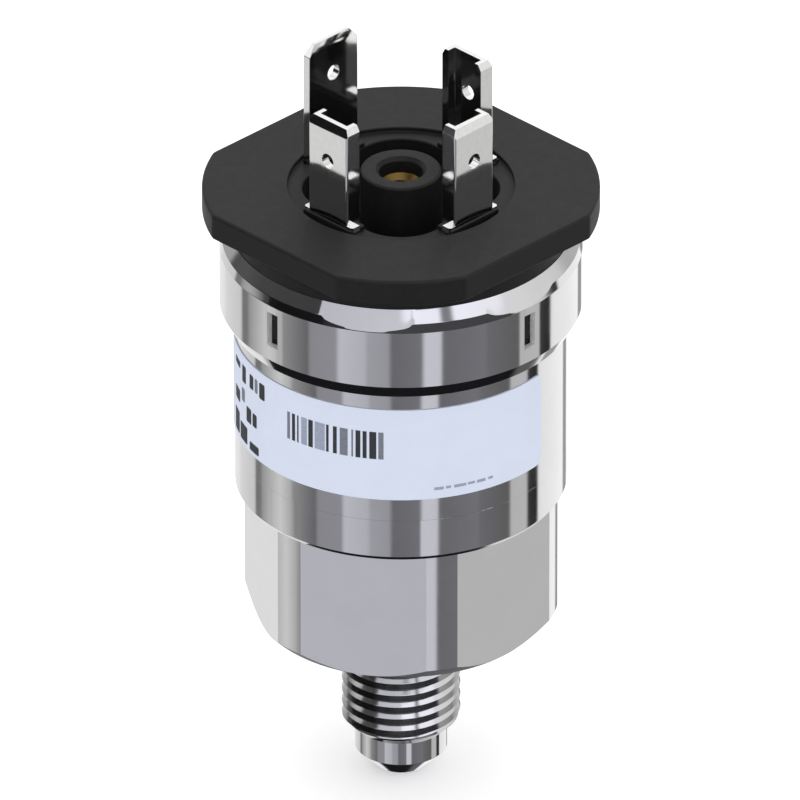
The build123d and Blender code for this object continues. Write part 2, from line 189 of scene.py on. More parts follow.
# light that comes by way of a second surface: the floor gives back the upper boxes
paths = w.new("ShaderNodeLightPath")
twice = w.math("GREATER_THAN", paths.outputs["Ray Depth"], 2.5)
cards = w.mix(w.math("MULTIPLY", twice, w.remap(height, -12, -8, 1, 0)), cards, card_ramp(w, turn, FLOOR, 2.0))
# below the floor's edge: grey on the right, black straight below
right_side = w.remap(side, -0.04, 0.04, 0, 1)
once = w.math("SUBTRACT", 1.0, twice)
cards = w.mix(w.math("MULTIPLY", w.math("MULTIPLY", once, right_side), w.remap(height, -50, -45, 1, 0)), cards,
              (0.12, 0.12, 0.122))
limit = w.remap(side, -0.04, 0.04, 49.5, 56.0)
below = w.math("MULTIPLY", once, w.remap(w.math("ADD", height, limit), -2, 2, 1, 0))
below = w.math("MAXIMUM", below, w.remap(height, -62, -56, 1, 0))
cards = w.mix(below, cards, (0.010, 0.010, 0.012))
tint = w.mix(w.remap(ahead, 0.1, 0.6, 0, 1), (1.0, 1.0, 1.0), (0.965, 0.965, 1.06))
cards = w.vmath("MULTIPLY", cards, tint).outputs[0]
soft = w.mix(w.remap(up, -0.5, 0.9, 0, 1), (0.98, 0.98, 0.99), (1.20, 1.20, 1.20))
glossy = paths.outputs["Is Glossy Ray"]
seen = w.mix(glossy, soft, cards)
out = w.new("ShaderNodeOutputWorld", {"Surface": w.new("ShaderNodeBackground", {"Color": seen, "Strength": 1.0}).outputs[0]})


# ------------------------------------------------------------------ materials
def material(name, color, metallic=0.0, rough=0.4, rough_var=0.05, var=0.06, var_size=1.5, bump=0.0, bump_size=0.1,
             turned=0.0, turned_size=0.05, spec=0.5, coat=0.0, coat_rough=0.1, mottle=None, blotch=0.0,
             transmission=0.0):
    """Procedural material. Sizes are in mm, bump heights in micrometres."""
    m = bpy.data.materials.new(name)
    m.use_nodes = True
    t = Tree(m.node_tree)
    pos = t.new("ShaderNodeTexCoord").outputs["Object"]
    sep = t.new("ShaderNodeSeparateXYZ", {0: pos})
    radial = t.vmath("LENGTH", t.new("ShaderNodeCombineXYZ", {0: sep.outputs[0], 1: sep.outputs[1], 2: 0.0}).outputs[0])
    clouds = t.new("ShaderNodeTexNoise", {"Vector": pos, "Scale": 1 / (var_size * MM), "Detail": 5.0, "Roughness": 0.6})
    shade = t.remap(clouds.outputs["Fac"], 0.3, 0.7, 1 - var, 1 + var, False)
    dark = tuple(c * (1 - var) for c in color[:3])
    light = tuple(min(1.0, c * (1 + var)) for c in color[:3])
    base = t.mix(t.remap(clouds.outputs["Fac"], 0.3, 0.7, 0, 1), dark, light)
    if mottle:
        fine = t.new("ShaderNodeTexVoronoi", {"Vector": pos, "Scale": 1 / (mottle[1] * MM)})
        base = t.mix(t.math("MULTIPLY", t.remap(fine.outputs["Distance"], 0.1, 0.6, 1, 0), mottle[2]), base, mottle[0])
    r = t.remap(clouds.outputs["Fac"], 0.25, 0.75, max(0.0, rough - rough_var), rough + rough_var)
    b = t.new("ShaderNodeBsdfPrincipled", {"Base Color": base, "Roughness": r, "Metallic": metallic,
                                           "Specular IOR Level": spec, "Coat Weight": coat,
                                           "Coat Roughness": coat_rough})
    if transmission:
        b.inputs["Transmission Weight"].default_value = transmission
    normal = None
    if turned:
        lines = t.new("ShaderNodeCombineXYZ", {0: radial.outputs["Value"], 1: sep.outputs[2], 2: 0.0})
        grooves = t.new("ShaderNodeTexNoise", {"Vector": lines.outputs[0], "Scale": 1 / (turned_size * MM),
                                               "Detail": 3.0, "Roughness": 0.7})
        normal = t.new("ShaderNodeBump", {"Height": grooves.outputs["Fac"], "Distance": turned * 1e-6, "Strength": 1.0})
    if blotch:
        wave = t.new("ShaderNodeTexNoise", {"Vector": pos, "Scale": 1 / (6.0 * MM), "Detail": 1.0})
        nn = t.new("ShaderNodeBump", {"Height": wave.outputs["Fac"], "Distance": blotch * 1e-6, "Strength": 1.0})
        if normal:
            t.put(nn, "Normal", normal.outputs[0])
        normal = nn
    if bump:
        grain = t.new("ShaderNodeTexNoise", {"Vector": pos, "Scale": 1 / (bump_size * MM), "Detail": 4.0,
                                             "Roughness": 0.65})
        nn = t.new("ShaderNodeBump", {"Height": grain.outputs["Fac"], "Distance": bump * 1e-6, "Strength": 1.0})
        if normal:
            t.put(nn, "Normal", normal.outputs[0])
        normal = nn
    if normal:
        t.put(b, "Normal", normal.outputs[0])
    t.new("ShaderNodeOutputMaterial", {"Surface": b.outputs[0]})
    return m


STEEL = material("steel_turned", (0.775, 0.775, 0.78), 1.0, 0.075, 0.02, 0.02, 4.0, turned=0.35, turned_size=0.06)
STEEL_FLAT = material("steel_milled", (0.775, 0.775, 0.78), 1.0, 0.10, 0.02, 0.02, 5.0, bump=0.25, bump_size=0.25,
                      blotch=3.0)
STEEL_RING = material("steel_ring", (0.785, 0.785, 0.79), 1.0, 0.07, 0.02, 0.02, 4.0, turned=0.3, turned_size=0.05)
STEEL_THREAD = material("steel_thread", (0.80, 0.80, 0.805), 1.0, 0.12, 0.03, 0.03, 1.0, turned=0.3, turned_size=0.04)
STEEL_PUNCHED = material("steel_punched", (0.86, 0.86, 0.865), 0.55, 0.55, 0.04, 0.05, 0.6, turned=0.6, turned_size=0.05)
STEEL_BEVEL = material("steel_bevel", (0.80, 0.80, 0.805), 1.0, 0.62, 0.03, 0.03, 1.5, turned=0.5, turned_size=0.06)
# darker copy of the thread's own steel: painted shade on the steeper land, crest and lower flank of each turn
STEEL_THREAD_SHADE = material("steel_thread_painted_shade", (0.36, 0.36, 0.365), 1.0, 0.14, 0.03, 0.05, 0.8, turned=0.4, turned_size=0.04)
BLACK = material("black_moulding", (0.0092, 0.0092, 0.0096), 0.0, 0.52, 0.04, 0.12, 0.8, bump=2.2, bump_size=0.09,
                 spec=0.30)
TIN = material("tinned_contact", (0.94, 0.94, 0.93), 1.0, 0.07, 0.02, 0.03, 0.6, bump=0.6, bump_size=0.12)
# brass darkened far below its own colour: painted shade for the bush deep in the boss's hole; inner brass pieces share
# it
BRASS_SHADED = material("turned_brass_painted_shade", (0.20, 0.13, 0.042), 1.0, 0.34, 0.05, 0.08, 0.5, turned=1.0, turned_size=0.05)
FILM = material("label_film", (0.555, 0.605, 0.72), 0.0, 0.42, 0.04, 0.012, 3.0, bump=0.5, bump_size=0.15, spec=0.25)
INK = material("label_ink", (0.032, 0.034, 0.042), 0.0, 0.55, 0.05, 0.12, 0.2, bump=0.6, bump_size=0.05, spec=0.2)
INK_SOFT = material("label_ink_soft", (0.15, 0.165, 0.20), 0.0, 0.55, 0.05, 0.12, 0.2, bump=0.6, bump_size=0.05, spec=0.2)

INK_FAINT = material("label_ink_faint", (0.26, 0.29, 0.37), 0.0, 0.55, 0.05, 0.10, 0.2, bump=0.6, bump_size=0.05, spec=0.2)

INNER = {
    "stainless": STEEL, "clamp_steel": STEEL_RING, "black_plastic": BLACK, "contact_tin": TIN, "brass": BRASS_SHADED,
    "label_film": FILM,
    "black_rubber": material("black_rubber", (0.012, 0.012, 0.012), 0.0, 0.6, 0.05, 0.15, 0.7, bump=3.0, bump_size=0.08,
                             spec=0.3),
    "foil": material("corrugated_foil", (0.80, 0.80, 0.81), 1.0, 0.2, 0.04, 0.03, 1.0, turned=0.5, turned_size=0.05),
    "seal_glass": material("seal_glass", (0.03, 0.10, 0.08), 0.0, 0.08, 0.03, 0.15, 0.4, bump=0.5, bump_size=0.1),
    "gold_pin": material("gold_plate", (0.86, 0.62, 0.26), 1.0, 0.2, 0.05, 0.05, 0.5, bump=0.4, bump_size=0.06),
    "ceramic": material("alumina", (0.78, 0.77, 0.72), 0.0, 0.5, 0.05, 0.04, 0.5, bump=1.5, bump_size=0.05),
    "silicon": material("silicon", (0.10, 0.11, 0.14), 0.6, 0.12, 0.03, 0.15, 0.3, bump=0.2, bump_size=0.04),
    "board": material("board", (0.018, 0.12, 0.045), 0.0, 0.35, 0.05, 0.12, 1.2, bump=1.5, bump_size=0.3,
                      mottle=((0.03, 0.18, 0.07), 0.9, 0.5)),
    "chip_body": material("chip_body", (0.02, 0.02, 0.021), 0.0, 0.45, 0.05, 0.12, 0.4, bump=1.2, bump_size=0.05),
    "chip_parts": material("chip_parts", (0.33, 0.24, 0.15), 0.0, 0.4, 0.05, 0.25, 1.1, bump=1.0, bump_size=0.08),
    "solder_tin": material("solder_tin", (0.8, 0.8, 0.79), 1.0, 0.25, 0.05, 0.04, 0.4, bump=1.0, bump_size=0.1),
    "capacitor_can": material("capacitor_can", (0.75, 0.75, 0.77), 1.0, 0.25, 0.04, 0.04, 0.8, bump=0.6,
                              bump_size=0.08),
    "cup_plastic": material("natural_nylon", (0.66, 0.64, 0.56), 0.0, 0.42, 0.05, 0.05, 1.5, bump=1.5, bump_size=0.12),
    "wire_red": material("wire_red", (0.42, 0.02, 0.015), 0.0, 0.4, 0.05, 0.10, 0.6, bump=1.0, bump_size=0.08),
    "wire_earth": material("wire_earth", (0.10, 0.30, 0.03), 0.0, 0.4, 0.05, 0.10, 0.6, bump=1.0, bump_size=0.08,
                           mottle=((0.75, 0.6, 0.03), 1.6, 0.9)),
}


# ------------------------------------------------------------------ mesh helpers
# Every piece is modelled in millimetres, where bevels, booleans and weighted normals work, and scaled once by settle().
def mesh_object(name, verts, faces, mats=(), face_mats=None, sharp=28.0):
    me = bpy.data.meshes.new(name)
    me.from_pydata(verts, [], faces)
    for m in mats:
        me.materials.append(m)
    if face_mats is not None:
        me.polygons.foreach_set("material_index", face_mats)
    bm = bmesh.new()
    bm.from_mesh(me)
    bmesh.ops.remove_doubles(bm, verts=bm.verts, dist=1e-4)
    bmesh.ops.recalc_face_normals(bm, faces=bm.faces)
    bm.to_mesh(me)
    bm.free()
    me.polygons.foreach_set("use_smooth", [True] * len(me.polygons))
    me.set_sharp_from_angle(angle=math.radians(sharp))
    ob = bpy.data.objects.new(name, me)
    scene.collection.objects.link(ob)
    return ob


def applied(ob):
    """Applies an object's modifiers to its mesh."""
    deps = bpy.context.evaluated_depsgraph_get()
    me = bpy.data.meshes.new_from_object(ob.evaluated_get(deps), depsgraph=deps)
    ob.modifiers.clear()
    old = ob.data
    ob.data = me
    bpy.data.meshes.remove(old)
    return ob


def settle(ob, bevel=0.0, keep_sharp=True, weighted=True, segments=2):
    """Bevels and weights the normals of a piece made in mm, then scales it to metres."""
    if bevel:
        bev = ob.modifiers.new("edge", "BEVEL")
        bev.width = bevel
        bev.segments = segments
        bev.limit_method = "ANGLE"
        bev.angle_limit = math.radians(28)
    if weighted:
        nn = ob.modifiers.new("normals", "WEIGHTED_NORMAL")
        nn.keep_sharp = keep_sharp
        nn.weight = 70
    applied(ob)
    ob.data.transform(Matrix.Scale(MM, 4))
    ob.data.update()
    return ob


def angles(step, marks=()):
    """Angles round the axis in radians, evenly spaced, with the marked ones (degrees) hit exactly."""
    marks = sorted(set(round(m % 360, 6) for m in marks))
    out = list(marks)
    for k in range(int(round(360 / step))):
        v = k * step
        if all(min(abs(v - m), 360 - abs(v - m)) > 0.45 * step for m in marks):
            out.append(v)
    return [math.radians(v) for v in sorted(out)]


def val(v, t):
    return v(t) if callable(v) else v


def rounded(points, steps=5, close=True):
    """Profile from (r, z[, fillet]) corners: corners with a fillet become arcs."""
    n = len(points)
    out = []
    for k, p in enumerate(points):
        rad = p[2] if len(p) > 2 else 0
        if not rad or (not close and k in (0, n - 1)):
            out.append((p[0], p[1]))
            continue
        c = Vector((p[0], p[1]))
        a = Vector(points[k - 1][:2]) - c
        b = Vector(points[(k + 1) % n][:2]) - c
        a.normalize(), b.normalize()
        half = a.angle(b) / 2
        d = rad / math.tan(half)
        centre = c + (a + b).normalized() * (rad / math.sin(half))
        p0, p1 = c + a * d, c + b * d
        a0 = math.atan2(p0.y - centre.y, p0.x - centre.x)
        a1 = math.atan2(p1.y - centre.y, p1.x - centre.x)
        while a1 - a0 > math.pi:
            a1 -= 2 * math.pi
        while a1 - a0 < -math.pi:
            a1 += 2 * math.pi
        for s in range(steps + 1):
            t = a0 + (a1 - a0) * s / steps
            out.append((centre.x + rad * math.cos(t), centre.y + rad * math.sin(t)))
    return out


def rings_to_mesh(thetas, rings, close=True):
    """Vertices and faces of a surface given as rings (r, z); r and z may depend on the angle."""
    n = len(thetas)
    verts, faces, seg = [], [], []
    for r, z in rings:
        for t in thetas:
            rr, zz = val(r, t), val(z, t)
            verts.append((rr * math.cos(t), rr * math.sin(t), zz))
    m = len(rings)
    for i in range(m if close else m - 1):
        j = (i + 1) % m
        for k in range(n):
            l = (k + 1) % n
            faces.append((i * n + k, i * n + l, j * n + l, j * n + k))
            seg.append((i, k))
    return verts, faces, seg


def lathe(name, profile, mats, step=1.5, sharp=28.0, close=True):
    v, f, _ = rings_to_mesh(angles(step), profile, close)
    return settle(mesh_object(name, v, f, mats, sharp=sharp))


def thread(thetas, z_top, z_low, pitch, shape, envelope=None, phase=0.0):
    """Helical band between two flat ends. shape is one pitch of (distance down from its start, radius)."""
    rows = sorted((s / pitch, r) for s, r in shape)
    table = rows + [(1.0 + rows[0][0], rows[0][1])]

    def radius(u):
        f = u - math.floor(u)
        if f < table[0][0]:
            f += 1
        for (a, ra), (b, rb) in zip(table, table[1:]):
            if a <= f <= b:
                return ra + (rb - ra) * (f - a) / max(b - a, 1e-12)
        return table[-1][1]

    turns = int(math.ceil((z_top - z_low) / pitch)) + 3
    us = [k + f for k in range(-1, turns) for f, _ in rows]
    cols = thetas + [thetas[0] + 2 * math.pi]
    verts, faces = [], []
    for t in cols:
        lift = phase + pitch * (t - thetas[0]) / (2 * math.pi)
        for u in us:
            z = z_top - u * pitch + lift
            zc = min(max(z, z_low), z_top)
            uc = (z_top + lift - zc) / pitch
            r = radius(uc)
            if envelope:
                r = min(r, envelope(zc))
            verts.append((r * math.cos(t), r * math.sin(t), zc))
    m = len(us)
    for k in range(len(cols) - 1):
        for i in range(m - 1):
            faces.append((k * m + i, k * m + i + 1, (k + 1) * m + i + 1, (k + 1) * m + i))
    top, low = {}, {}
    for k, t in enumerate(thetas):
        lift = phase + pitch * (t - thetas[0]) / (2 * math.pi)
        top[k] = radius(lift / pitch)
        low[k] = radius((z_top + lift - z_low) / pitch)
    return verts, faces, top, low


def curved_box(verts, faces, r0, r1, a0, a1, z0, z1, step=1.5, corner=0.0):
    """Adds a closed patch that follows the tube: angles in degrees. corner rounds its outline."""
    n = max(1, int(math.ceil((a1 - a0) / step)))
    cols = []
    rm = (r0 + r1) / 2
    if corner > 0:
        ca = math.degrees(corner / rm)
        cols += [(a0 + ca * (1 - math.cos(q)), corner * (1 - math.sin(q))) for q in
                 [math.radians(x) for x in (0, 18, 36, 54, 72, 90)]]
        inner = [(a0 + ca + (a1 - a0 - 2 * ca) * k / n, 0.0) for k in range(1, n)]
        cols += inner
        cols += [(a1 - ca * (1 - math.cos(q)), corner * (1 - math.sin(q))) for q in
                 [math.radians(x) for x in (90, 72, 54, 36, 18, 0)]]
    else:
        cols = [(a0 + (a1 - a0) * k / n, 0.0) for k in range(n + 1)]
    base = len(verts)
    for a, cut in cols:
        t = math.radians(a)
        for r, z in ((r0, z0 + cut), (r1, z0 + cut), (r1, z1 - cut), (r0, z1 - cut)):
            verts.append((r * math.cos(t), r * math.sin(t), z))
    m = len(cols)
    for k in range(m - 1):
        for e in range(4):
            g = (e + 1) % 4
            faces.append((base + 4 * k + e, base + 4 * k + g, base + 4 * (k + 1) + g, base + 4 * (k + 1) + e))
    faces.append((base, base + 1, base + 2, base + 3))
    faces.append((base + 4 * (m - 1) + 3, base + 4 * (m - 1) + 2, base + 4 * (m - 1) + 1, base + 4 * (m - 1)))


def prism_object(name, outline, axis, a, b):
    """Closed prism over an outline; axis is the direction it is drawn along."""
    def place(u, v, w):
        return {"z": (u, v, w), "y": (u, w, v), "x": (w, u, v)}[axis]
    n = len(outline)
    verts = [place(u, v, a) for u, v in outline] + [place(u, v, b) for u, v in outline]
    faces = [tuple(range(n)), tuple(range(2 * n - 1, n - 1, -1))]
    faces += [(k, (k + 1) % n, n + (k + 1) % n, n + k) for k in range(n)]
    return mesh_object(name, verts, faces, sharp=30)


def circle(cx, cy, r, n=28):
    return [(cx + r * math.cos(2 * math.pi * k / n), cy + r * math.sin(2 * math.pi * k / n)) for k in range(n)]


def boolean(ob, other, op):
    mod = ob.modifiers.new("b", "BOOLEAN")
    mod.operation = op
    mod.solver = "EXACT"
    mod.object = other
    bpy.context.view_layer.update()
    applied(ob)
    bpy.data.objects.remove(other)
    return ob


def place(ob, node, slot):
    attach(ob, "root")
    if node:
        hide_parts(node)
    return ob


# ------------------------------------------------------------------ process connection
AF2, CORNER = 13.5, 14.8
STRIP = math.degrees(math.acos(AF2 / CORNER))
marks = []
for k in range(6):
    marks += [60 * k - STRIP, 60 * k + STRIP, 60 * k, 60 * k + 30]
TH = angles(1.25, marks)


def hex_r(t):
    d = (math.degrees(t) + 30) % 60 - 30
    return min(AF2 / math.cos(math.radians(d)), CORNER)


R_MAJ, PITCH, THREAD_LOW = 5.556, 1.27, -12.606
# the thread's form over one pitch, as (distance down from the root, radius): root, shallow upper flank, steeper land
# running out to the crest, hidden lower flank
SHALLOW, STEEP = math.radians(36.0), math.radians(17.0)


def thread_form():
    low, high = 0.49, 0.53
    depth = low * math.tan(SHALLOW) + high * math.tan(STEEP)
    root = R_MAJ - depth
    pts = [(0.0, root), (low * 0.5, root + low * 0.5 * math.tan(SHALLOW)), (low - 0.02, root + (low - 0.02) * math.tan(SHALLOW)),
           (low + 0.02, root + low * math.tan(SHALLOW) + 0.02 * math.tan(STEEP)),
           (low + high * 0.5, root + low * math.tan(SHALLOW) + high * 0.5 * math.tan(STEEP)),
           (low + high - 0.03, R_MAJ - 0.012), (low + high + 0.02, R_MAJ), (low + high + 0.05, R_MAJ - 0.03),
           (PITCH - 0.02, root + 0.01)]
    return pts


shape = thread_form()


def end_cone(z):
    return R_MAJ if z > -11.4 else R_MAJ - (-11.4 - z)


tv, tf, top, _ = thread(TH, 0.0, THREAD_LOW, PITCH, shape, end_cone, phase=0.235)
index = {round(t, 9): k for k, t in enumerate(TH)}


def thread_top(t):
    return top[index[round(t, 9)]]


def weld_r(t):
    """Radius at the bottom of the weld seam, which is nearly flush and deeper on one stretch."""
    d = (math.degrees(t) + 45 + 180) % 360 - 180
    return 15.495 - 0.05 * max(0.0, 1 - ((d - 23) / 10) ** 2)


nose = rounded([(1.5, 6.9), (1.5, -16.9, 0.12), (2.35, -16.9, 0.05), (4.35, -14.9, 0.05), (4.35, THREAD_LOW)],
               steps=3, close=False)
upper = [(thread_top, 0.0), (AF2 - 0.001, 0.0), (hex_r, lambda t: hex_r(t) - AF2), (hex_r, 13.66), (15.0, 13.66)]
upper += rounded([(15.0, 13.66), (15.2, 13.7), (15.5, 14.12, 0.06), (15.5, 17.985), (weld_r, 18.0), (14.3, 18.0), (14.3, 19.7), (14.0, 20.0),
                  (12.3, 20.0), (12.3, 15.4), (9.55, 15.4), (9.55, 7.5), (6.4, 7.5), (1.5, 6.9)], steps=3, close=False)[1:]
v1, f1, s1 = rings_to_mesh(TH, nose, close=False)
v2, f2, s2 = rings_to_mesh(TH, upper, close=False)
verts = v1 + v2 + tv
faces = f1 + [tuple(i + len(v1) for i in f) for f in f2] + [tuple(i + len(v1) + len(v2) for i in f) for f in tf]
fmat = [0] * len(f1)
for (i, k) in s2:
    flat = i == 2 and hex_r((TH[k] + TH[(k + 1) % len(TH)] + (2 * math.pi if k + 1 == len(TH) else 0)) / 2) < CORNER - 1e-4
    fmat.append(1 if flat else 4 if i == 1 else 0)
steps = len(tf) // len(TH)
# root and shallow upper flank keep the thread steel; steeper land, crest and lower flank get its darker copy, painted
# shade
fmat += [2 if (k % steps) % len(shape) < 3 else 3 for k in range(len(tf))]
connection = settle(mesh_object("connection_body", verts, faces, [STEEL, STEEL_FLAT, STEEL_THREAD, STEEL_THREAD_SHADE, STEEL_BEVEL], fmat,
                                sharp=21))
place(connection, "process_connection", "stainless")

# ------------------------------------------------------------------ housing tube
tube = lathe("tube_body", rounded([(14.3, 18.0), (weld_r, 18.0), (15.5, 18.02), (15.5, 33.2), (16.2, 33.2, 0.1),
                                   (16.2, 34.4, 0.1), (14.3, 34.4)], 3), [STEEL], step=1.25)
place(tube, "housing_tube", "stainless")

# ------------------------------------------------------------------ clamp ring with its stake slots
R_OUT, R_IN = 16.9, 16.25
SLOT_A = math.degrees(math.asin(0.7 / R_OUT))
Z0, Z1 = 34.55, 38.15


def pressed(t):
    """How far the rolled lip is pressed flat at an angle: 0 between the marks of the tool, 1 in their middle."""
    d = (math.degrees(t) + 45 + 180) % 360 - 180
    best = 0.0
    for mid, half in ((-11.3, 14.9), (43, 13.5), (98, 13), (153, 13), (-152, 13), (-106, 12)):
        u = (d - mid) / half
        if abs(u) < 1:
            best = max(best, math.sqrt(1 - u * u))
    return best


def lip(z_end, share):
    """Point of the lip between its steep and shallow parts; where it is pressed it slides down to the wall."""
    def r(t):
        q = pressed(t)
        return (16.69 + (16.86 - 16.69) * q) * (1 - share) + share * 15.91

    def z(t):
        q = pressed(t)
        return (39.71 + (38.97 - 39.71) * q) * (1 - share) + share * z_end
    return r, z


ring_profile = rounded([(15.5, 31.7), (16.15, 31.7, 0.04), (R_OUT, 33.1, 0.03), (R_OUT, Z0), (R_OUT, Z1), (R_OUT, 38.84)],
                       3, close=False)
ring_profile += [(16.89, 38.89), (lambda t: 16.875 if pressed(t) > 0.9 else 16.87, lambda t: 38.94 + 0.01 * (1 - pressed(t)))]
ring_profile += [lip(40.87, 0.0), lip(40.87, 0.05), lip(40.87, 0.5), (15.91, 40.87), (15.85, 40.87), (15.85, 39.6),
                 (R_IN, 38.75), (R_IN, Z1), (R_IN, Z0), (R_IN, 33.2), (15.5, 33.2)]
slot_marks = []
for k in range(4):
    slot_marks += [90 * k - SLOT_A, 90 * k + SLOT_A]
TR = angles(1.25, slot_marks)
rv, rf, rs = rings_to_mesh(TR, ring_profile, close=True)


def find(profile, r, z):
    return min(range(len(profile)), key=lambda i: abs(val(profile[i][0], 0.0) - r) + abs(val(profile[i][1], 0.0) - z))


o0, o1 = find(ring_profile, R_OUT, Z0), find(ring_profile, R_OUT, Z1)
i0, i1 = find(ring_profile, R_IN, Z0), find(ring_profile, R_IN, Z1)


def in_slot(k):
    mid = math.degrees((TR[k] + TR[(k + 1) % len(TR)] + (2 * math.pi if k + 1 == len(TR) else 0)) / 2) % 90
    return min(mid, 90 - mid) < SLOT_A


kept = [f for f, (i, k) in zip(rf, rs) if not (i in (o0, i1) and in_slot(k))]
walls = []
n = len(TR)
for k in range(n):
    l = (k + 1) % n
    if in_slot(k):
        walls.append((o0 * n + k, o0 * n + l, i0 * n + l, i0 * n + k))
        walls.append((o1 * n + k, o1 * n + l, i1 * n + l, i1 * n + k))
        if not in_slot((k - 1) % n):
            walls.append((o0 * n + k, o1 * n + k, i1 * n + k, i0 * n + k))
        if not in_slot(l):
            walls.append((o0 * n + l, o1 * n + l, i1 * n + l, i0 * n + l))
ring = settle(mesh_object("ring_body", rv, kept + walls, [STEEL_RING, STEEL_PUNCHED], [0] * len(kept) + [1] * len(walls),
                          sharp=28))
place(ring, "clamp_ring", "clamp_steel")

# ------------------------------------------------------------------ plug base
FLAT, FR = 16.62, 18.5


def flange_r(inset):
    h, big, rc = FLAT - inset, FR - inset, max(0.6 - inset, 0.2)
    ca = math.degrees(math.acos((h - rc) / (big - rc)))
    edge = math.degrees(math.atan2((big - rc) * math.sin(math.radians(ca)), h))

    def f(t):
        d = abs((math.degrees(t) + 45) % 90 - 45)
        if d <= edge:
            return h / math.cos(math.radians(d))
        if d >= ca:
            return big
        b = (big - rc) * math.cos(math.radians(d - ca))
        return b + math.sqrt(max(b * b - (big - rc) ** 2 + rc * rc, 0))
    return f


def well_r(grow):
    h, rc = 7.8 + grow, 4.5 + grow
    c = h - rc

    def f(t):
        d = math.degrees(t) % 90
        d = math.radians(min(d, 90 - d))
        if h * math.tan(d) <= c:
            return h / math.cos(d)
        b = c * (math.cos(d) + math.sin(d))
        return b + math.sqrt(b * b - 2 * c * c + rc * rc)
    return f


fl_marks = []
for k in range(4):
    fl_marks += [90 * k + q * m for m in (25.2, 26.1, 26.9, 27.8, 22.0, 33.0, 40.0) for q in (-1, 1)] + [90 * k, 90 * k + 45]
TP = angles(1.5, fl_marks)
RECESS_Z, TOP_Z, WELL_Z, BOSS_Z, BUSH_TOP = 44.85, 45.3, 41.4, 46.85, 45.4
rings = rounded([(2.6, 38.4), (2.6, BUSH_TOP), (2.05, BUSH_TOP), (2.05, 46.5, 0.1), (2.4, BOSS_Z, 0.08),
                 (3.8, BOSS_Z, 0.28), (3.8, WELL_Z, 0.3), (6.0, WELL_Z)], 5, close=False)
for q in range(6):          # fillet between the well's floor and wall
    a = math.radians(90 * q / 5)
    rings.append((well_r(-0.4 + 0.4 * math.sin(a)), WELL_Z + 0.4 - 0.4 * math.cos(a)))
for q in range(5):          # rounded upper edge of the well
    a = math.radians(90 * q / 4)
    rings.append((well_r(0.18 - 0.18 * math.cos(a)), RECESS_Z - 0.18 + 0.18 * math.sin(a)))
rings += rounded([(9.6, RECESS_Z), (10.55, RECESS_Z, 0.12), (10.55, TOP_Z, 0.12), (12.5, TOP_Z)], 4, close=False)[1:]
for q in range(7):          # upper edge of the flange
    a = math.radians(90 * q / 6)
    rings.append((flange_r(0.32 - 0.32 * math.sin(a)), TOP_Z - 0.32 + 0.32 * math.cos(a)))
for q in range(5):          # lower edge
    a = math.radians(90 * q / 4)
    rings.append((flange_r(0.25 - 0.25 * math.cos(a)), 42.7 + 0.25 - 0.25 * math.sin(a)))
rings += rounded([(16.2, 42.7), (15.85, 42.7, 0.3), (15.85, 39.55), (16.2, 38.7), (16.2, 35.0, 0.15), (14.2, 35.0),
                  (14.2, 32.8), (12.4, 32.8), (12.4, 38.4), (2.6, 38.4)], 4, close=False)
pv, pf, _ = rings_to_mesh(TP, rings, close=False)
plug = mesh_object("plug_moulding", pv, pf, [BLACK], sharp=26)


def rounded_box(x0, x1, y0, y1, z0, z1, rad, seg=3):
    bm = bmesh.new()
    bmesh.ops.create_cube(bm, size=1.0)
    for v in bm.verts:
        v.co = Vector(((x0 + x1) / 2 + v.co.x * (x1 - x0), (y0 + y1) / 2 + v.co.y * (y1 - y0),
                       (z0 + z1) / 2 + v.co.z * (z1 - z0)))
    bmesh.ops.bevel(bm, geom=list(bm.edges), offset=rad, segments=seg, profile=0.5, affect="EDGES")
    return bm


# clearance in front of each contact's face
for k in range(4):
    half = math.degrees(math.asin(3.0 / 10.45))
    outline = [(9.35, -3.0)] + [(10.45 * math.cos(math.radians(-half + half * q / 4)),
                                 10.45 * math.sin(math.radians(-half + half * q / 4))) for q in range(9)] + [(9.35, 3.0)]
    turn_k = math.radians(90 * k)
    outline = [(x * math.cos(turn_k) - y * math.sin(turn_k), x * math.sin(turn_k) + y * math.cos(turn_k)) for x, y in outline]
    boolean(plug, prism_object("relief", outline, "z", 43.9, 46.0), "DIFFERENCE")
PAD_TOP = 45.28
bm = bmesh.new()
bm.from_mesh(plug.data)
for k in range(4):
    pad = rounded_box(7.84, 9.75, -3.15, 3.15, 44.2, PAD_TOP, 0.15)
    bmesh.ops.rotate(pad, verts=pad.verts, cent=(0, 0, 0), matrix=Matrix.Rotation(math.pi / 2 * k, 3, "Z"))
    tmp = bpy.data.meshes.new("pad")
    pad.to_mesh(tmp)
    pad.free()
    bm.from_mesh(tmp)
    bpy.data.meshes.remove(tmp)
bm.to_mesh(plug.data)
bm.free()
plug.data.materials.clear()
plug.data.materials.append(BLACK)
plug.data.polygons.foreach_set("material_index", [0] * len(plug.data.polygons))
plug.data.polygons.foreach_set("use_smooth", [True] * len(plug.data.polygons))
plug.data.set_sharp_from_angle(angle=math.radians(26))
settle(plug)
place(plug, "plug_base", "black_plastic")

# ------------------------------------------------------------------ contacts
FACE, W2, T, DEPTH, C_TOP = 9.6, 2.525, 0.8, 1.65, 55.6


def arc(cx, cy, r, a0, a1, n=5):
    return [(cx + r * math.cos(math.radians(a0 + (a1 - a0) * k / n)),
             cy + r * math.sin(math.radians(a0 + (a1 - a0) * k / n))) for k in range(n + 1)]


def finish_metal(ob, width=0.05):
    bm = bmesh.new()
    bm.from_mesh(ob.data)
    bmesh.ops.dissolve_limit(bm, angle_limit=math.radians(1.0), verts=bm.verts, edges=bm.edges)
    bm.to_mesh(ob.data)
    bm.free()
    ob.data.materials.clear()
    ob.data.materials.append(TIN)
    ob.data.polygons.foreach_set("material_index", [0] * len(ob.data.polygons))
    ob.data.polygons.foreach_set("use_smooth", [True] * len(ob.data.polygons))
    return settle(ob, bevel=width, keep_sharp=False)


